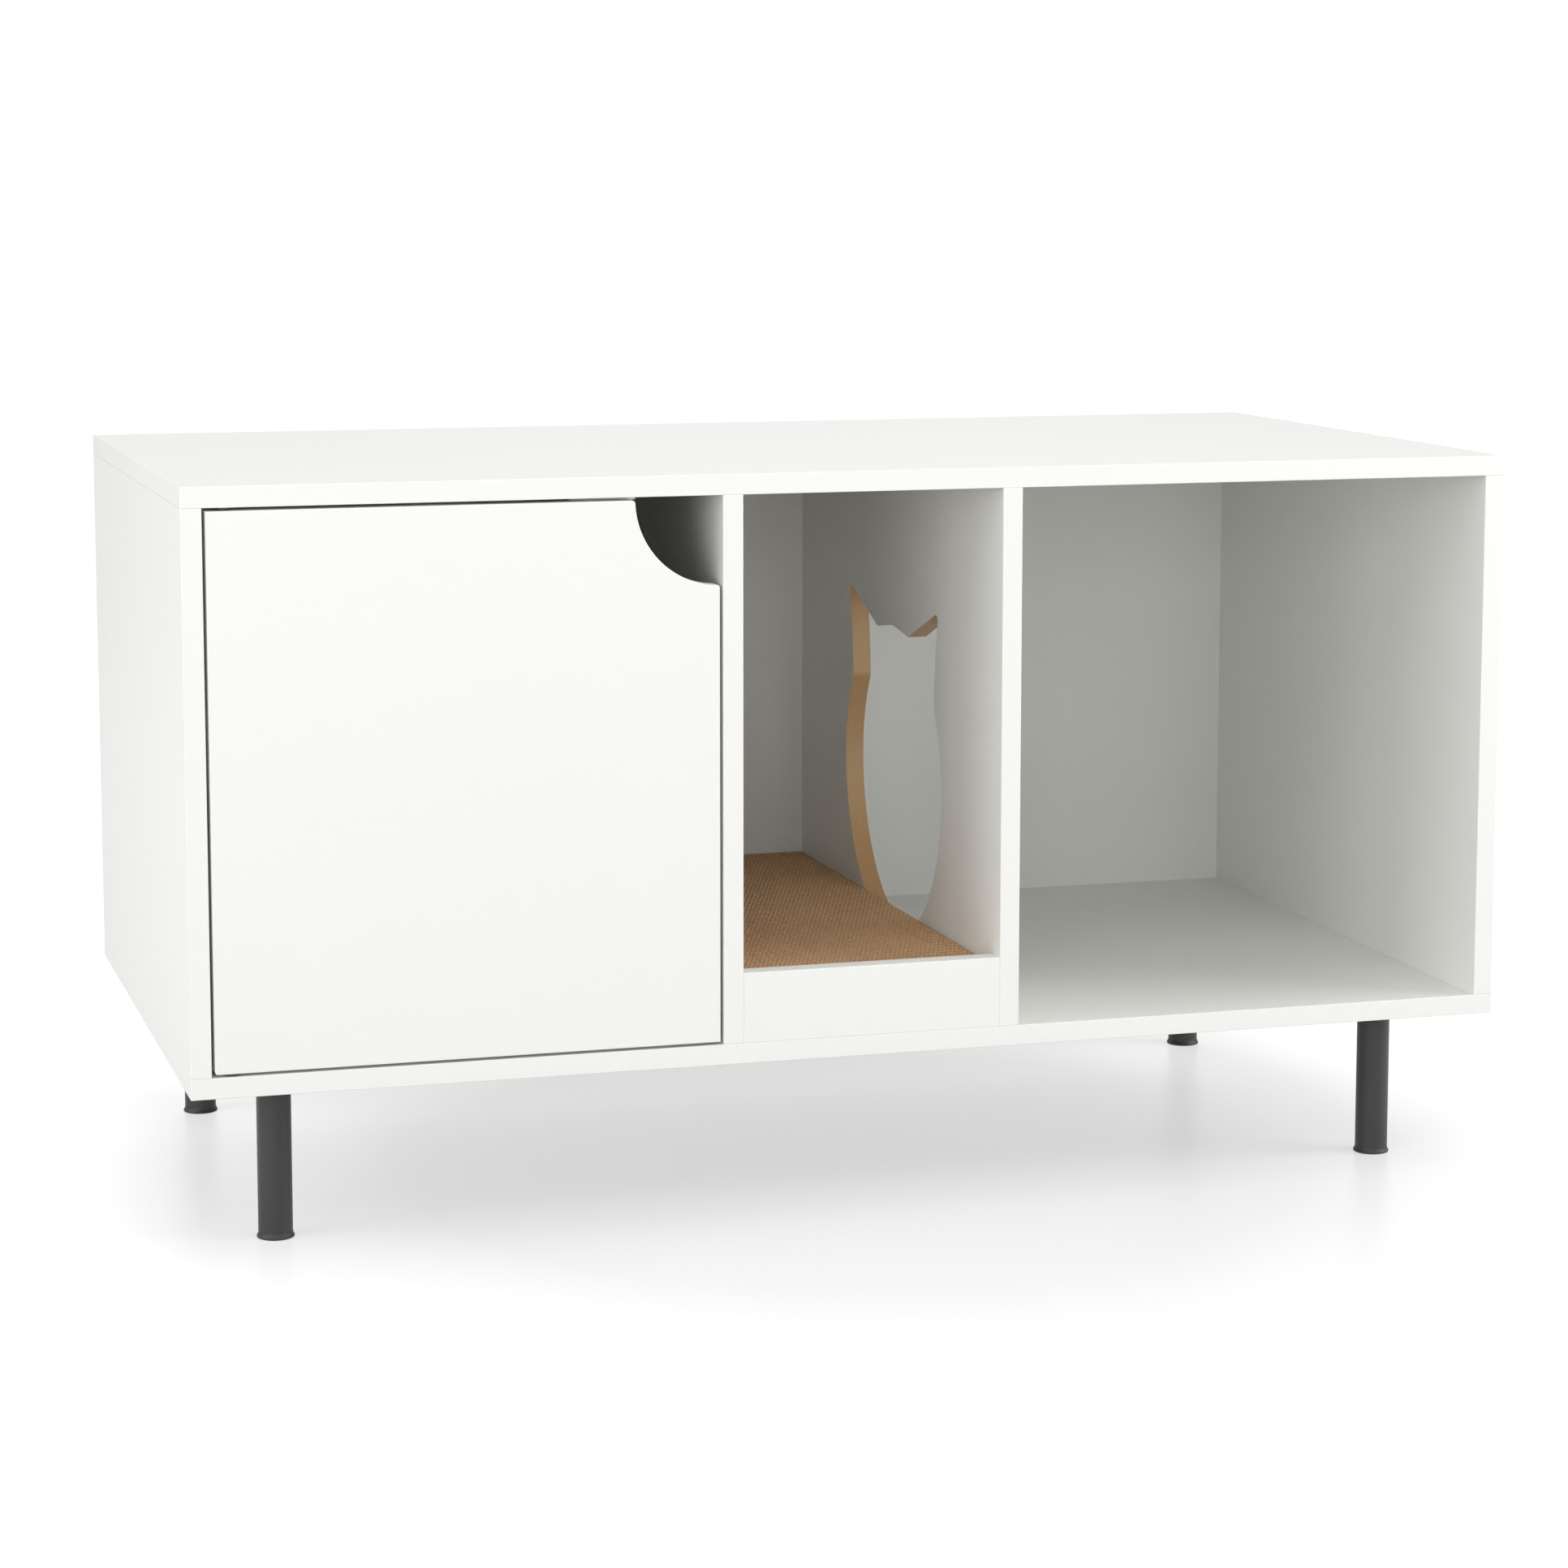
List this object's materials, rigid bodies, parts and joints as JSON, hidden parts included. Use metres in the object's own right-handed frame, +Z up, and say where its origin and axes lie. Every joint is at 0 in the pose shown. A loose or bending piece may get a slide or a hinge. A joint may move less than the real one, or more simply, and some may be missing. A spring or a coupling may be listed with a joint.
{
  "type": "cat litter box cabinet",
  "caption": "Low white cabinet on tube legs that hides a litter box: a hinged-door bay, a narrow bay with a scratching pad, an open bay, and cat-head doorways between them.",
  "frame": {"origin": "on the floor, under the middle of the cabinet's width and depth", "axes": "+Z up, +X to the right as seen from the front, +Y from the front to the rear"},
  "size_m": [1, 0.516, 0.55],
  "materials": {
    "white_board": "white satin foil on fibreboard",
    "corrugated_card": "brown corrugated card, cut edges up",
    "zinc_steel": "zinc plated",
    "grey_nylon": "grey nylon, matte",
    "blackened_steel": "blackened",
    "white_plastic": "moulded, matte",
    "ferrite": "ground, dark grey",
    "charcoal_coat": "satin powder coat",
    "black_plastic": "moulded, satin",
    "beech": "fluted beech dowel"
  },
  "bodies": {
    "cabinet": {"top_panel": "white_board", "bottom_panel": "white_board", "left_side_panel": "white_board", "right_side_panel": "white_board", "left_divider": "white_board", "right_divider": "white_board", "back_panel": "white_board", "front_apron": "white_board", "upper_pivot_bush": "grey_nylon", "lower_pivot_bush": "grey_nylon", "catch_housing": "white_plastic", "catch_magnet": "ferrite", "catch_pole_plates": "zinc_steel", "catch_screws": "zinc_steel", "front_left_leg_tube": "charcoal_coat", "front_left_leg_plate": "charcoal_coat", "front_left_foot": "black_plastic", "front_right_leg_tube": "charcoal_coat", "front_right_leg_plate": "charcoal_coat", "front_right_foot": "black_plastic", "rear_left_leg_tube": "charcoal_coat", "rear_left_leg_plate": "charcoal_coat", "rear_left_foot": "black_plastic", "rear_right_leg_tube": "charcoal_coat", "rear_right_leg_plate": "charcoal_coat", "rear_right_foot": "black_plastic", "leg_plate_screws": "zinc_steel", "top_panel_dowels": "beech", "bottom_panel_dowels": "beech", "bottom_panel_screws": "zinc_steel", "apron_dowels": "beech"},
    "door": {"door": "white_board", "upper_pivot_pin": "blackened_steel", "lower_pivot_pin": "blackened_steel", "thrust_washer": "grey_nylon", "strike_plate": "zinc_steel", "strike_screw": "zinc_steel"},
    "pad": {"scratching_pad": "corrugated_card"}
  },
  "joints": [
    {"name": "door_swing", "type": "hinge", "parent": "cabinet", "child": "door", "pos_m": [-0.46964, -0.2505, 0.335], "axis": [0, 0, -1], "range_deg": [0, 110]},
    {"name": "pad_lift", "type": "slide", "parent": "cabinet", "child": "pad", "axis": [0, 0, 1], "range_m": [0, 0.055]}
  ]
}
